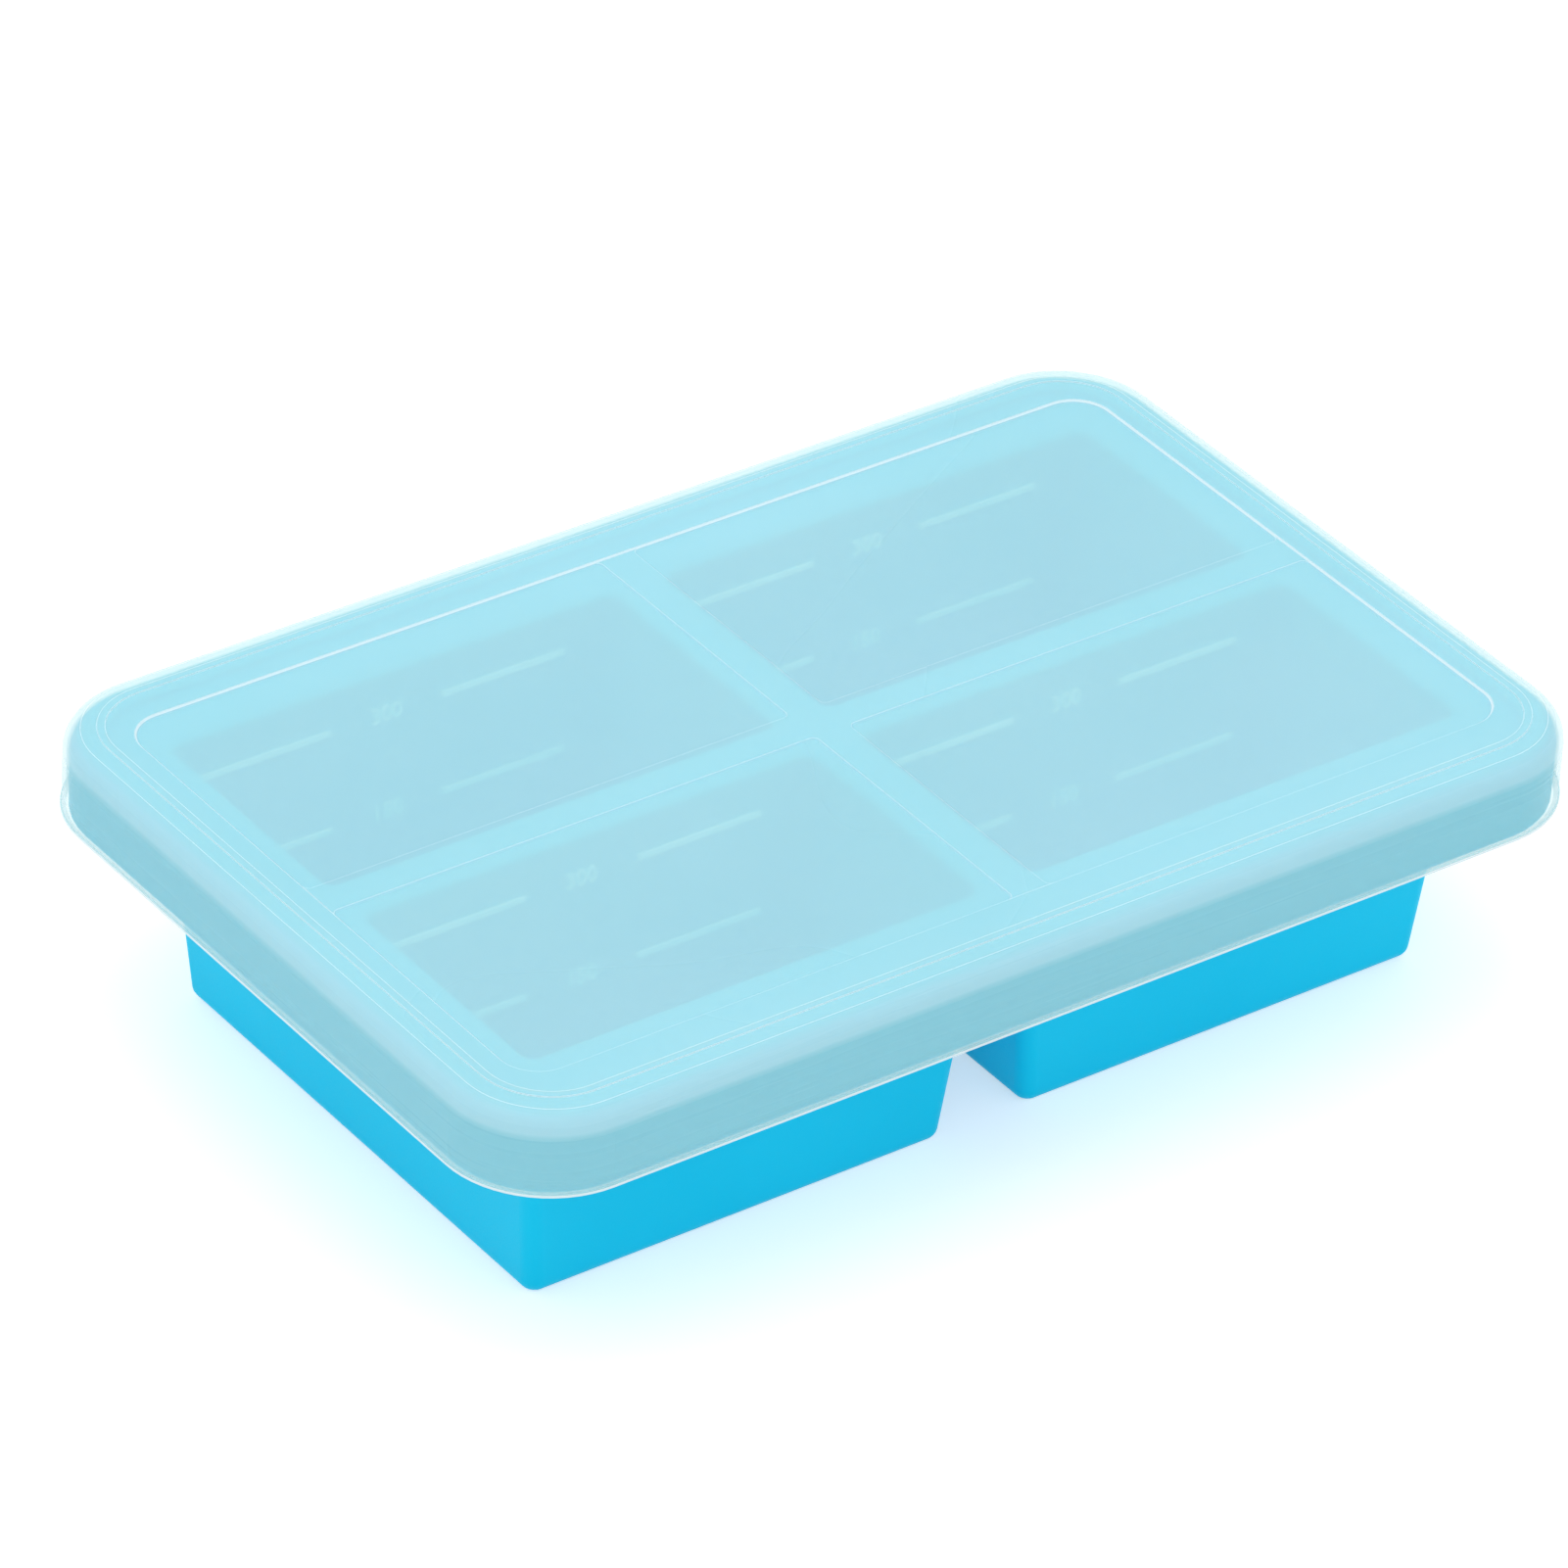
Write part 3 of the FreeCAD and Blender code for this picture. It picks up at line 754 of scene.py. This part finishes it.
@dataclass
class Studio:
    """The floor, the lamps, the pale surroundings and the camera."""

    image_side: int = 1601
    focal_pixels: float = 10816.0
    azimuth: float = -37.57
    elevation: float = 33.93
    roll: float = 3.24
    distance: float = 2.275
    target: tuple[float, float, float] = (0.0095, 0.0232, 0.0325)
    sensor: float = 36.0
    floor_size: float = 6.0
    floor_colour: Colour = (0.86, 0.86, 0.86, 1.0)
    floor_glow: float = 0.46
    surround_strength: float = 0.93
    key_power: float = 9.0
    key_size: float = 2.2
    key_place: tuple[float, float, float] = (-0.3, 0.3, 2.4)
    far_clip: float = 50.0

    def build(self) -> None:
        """Set the stage."""
        self.add_floor()
        self.add_surroundings()
        self.add_lamp("top_softbox", Vector(self.key_place), self.key_power)
        self.add_camera()
        view = bpy.context.scene.view_settings
        view.view_transform = "Standard"

    def add_floor(self) -> None:
        """A pale floor that the camera sees as white, apart from the shadow on it."""
        half = self.floor_size / 2
        corners = [(-half, -half, 0.0), (half, -half, 0.0), (half, half, 0.0), (-half, half, 0.0)]
        mesh = bpy.data.meshes.new("floor")
        mesh.from_pydata(corners, [], [(0, 1, 2, 3)])
        floor = bpy.data.objects.new("floor", mesh)
        bpy.context.scene.collection.objects.link(floor)
        nodes = NodeTree("studio_floor")
        shader = nodes.add("BsdfDiffuse")
        shader.inputs["Color"].default_value = self.floor_colour
        glow = nodes.add("Emission")
        nodes.link(self.seen_plainly(nodes, self.floor_glow), glow.inputs["Strength"])
        total = nodes.add("AddShader")
        nodes.link(shader.outputs["BSDF"], total.inputs[0])
        nodes.link(glow.outputs["Emission"], total.inputs[1])
        nodes.link(total.outputs["Shader"], nodes.output.inputs["Surface"])
        mesh.materials.append(nodes.material)

    def seen_plainly(self, nodes: NodeTree, strength: float) -> bpy.types.NodeSocket:
        """A strength that counts only for rays from the camera, mirrors and clear pieces.

        Args:
            nodes: The tree to add to.
            strength: The strength for those rays.

        Returns:
            The strength for the present ray.
        """
        path = nodes.add("LightPath")
        mirrored = nodes.maths("MAXIMUM", path.outputs["Is Camera Ray"], path.outputs["Is Glossy Ray"])
        seen = nodes.maths("MAXIMUM", mirrored, path.outputs["Is Transmission Ray"])
        return nodes.maths("MULTIPLY", seen, strength)

    def add_surroundings(self) -> None:
        """A soft white world that looks white to the camera."""
        world = bpy.data.worlds.new("studio")
        bpy.context.scene.world = world
        world.use_nodes = True
        tree = world.node_tree
        tree.nodes.clear()
        output = tree.nodes.new("ShaderNodeOutputWorld")
        light = tree.nodes.new("ShaderNodeBackground")
        light.inputs["Strength"].default_value = self.surround_strength
        white = tree.nodes.new("ShaderNodeBackground")
        for background in (light, white):
            background.inputs["Color"].default_value = (1.0, 1.0, 1.0, 1.0)
        path = tree.nodes.new("ShaderNodeLightPath")
        seen = tree.nodes.new("ShaderNodeMath")
        seen.operation = "MAXIMUM"
        tree.links.new(path.outputs["Is Camera Ray"], seen.inputs[0])
        tree.links.new(path.outputs["Is Transmission Ray"], seen.inputs[1])
        mix = tree.nodes.new("ShaderNodeMixShader")
        tree.links.new(seen.outputs[0], mix.inputs["Fac"])
        tree.links.new(light.outputs["Background"], mix.inputs[1])
        tree.links.new(white.outputs["Background"], mix.inputs[2])
        tree.links.new(mix.outputs["Shader"], output.inputs["Surface"])

    def add_lamp(self, name: str, place: Vector, power: float) -> None:
        """A large square lamp that faces the tray.

        Args:
            name: The lamp's name.
            place: Where it hangs.
            power: Its power in watts.
        """
        lamp = bpy.data.lights.new(name, "AREA")
        lamp.shape = "SQUARE"
        lamp.size = self.key_size
        lamp.energy = power
        holder = bpy.data.objects.new(name, lamp)
        holder.location = place
        holder.rotation_euler = (-place).to_track_quat("-Z", "Y").to_euler()
        bpy.context.scene.collection.objects.link(holder)

    def add_camera(self) -> None:
        """A long lens from the front left, a little above, turned slightly about its own axis."""
        azimuth, elevation, roll = (math.radians(v) for v in (self.azimuth, self.elevation, self.roll))
        back = Vector((
            math.sin(azimuth) * math.cos(elevation),
            -math.cos(azimuth) * math.cos(elevation),
            math.sin(elevation),
        ))
        right = Vector((math.cos(azimuth), math.sin(azimuth), 0.0))
        up = back.cross(right)
        turned_right = math.cos(roll) * right + math.sin(roll) * up
        turned_up = math.cos(roll) * up - math.sin(roll) * right
        place = Vector(self.target) + self.distance * back
        camera = bpy.data.cameras.new("photo_camera")
        camera.sensor_width = self.sensor
        camera.lens = self.focal_pixels * self.sensor / self.image_side
        camera.clip_end = self.far_clip
        camera.dof.use_dof = False
        holder = bpy.data.objects.new("photo_camera", camera)
        axes = Matrix((turned_right, turned_up, back)).transposed().to_4x4()
        holder.matrix_world = Matrix.Translation(place) @ axes
        bpy.context.scene.collection.objects.link(holder)
        bpy.context.scene.camera = holder


def main() -> None:
    """Load the part, dress it and set the stage."""
    logging.basicConfig(level=logging.INFO, format="%(name)s: %(message)s")
    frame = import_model()
    FreezerTray(frame["nodes"]).dress()
    FrostedLid(frame["nodes"]).dress()
    Studio().build()


if __name__ == "__main__":
    main()
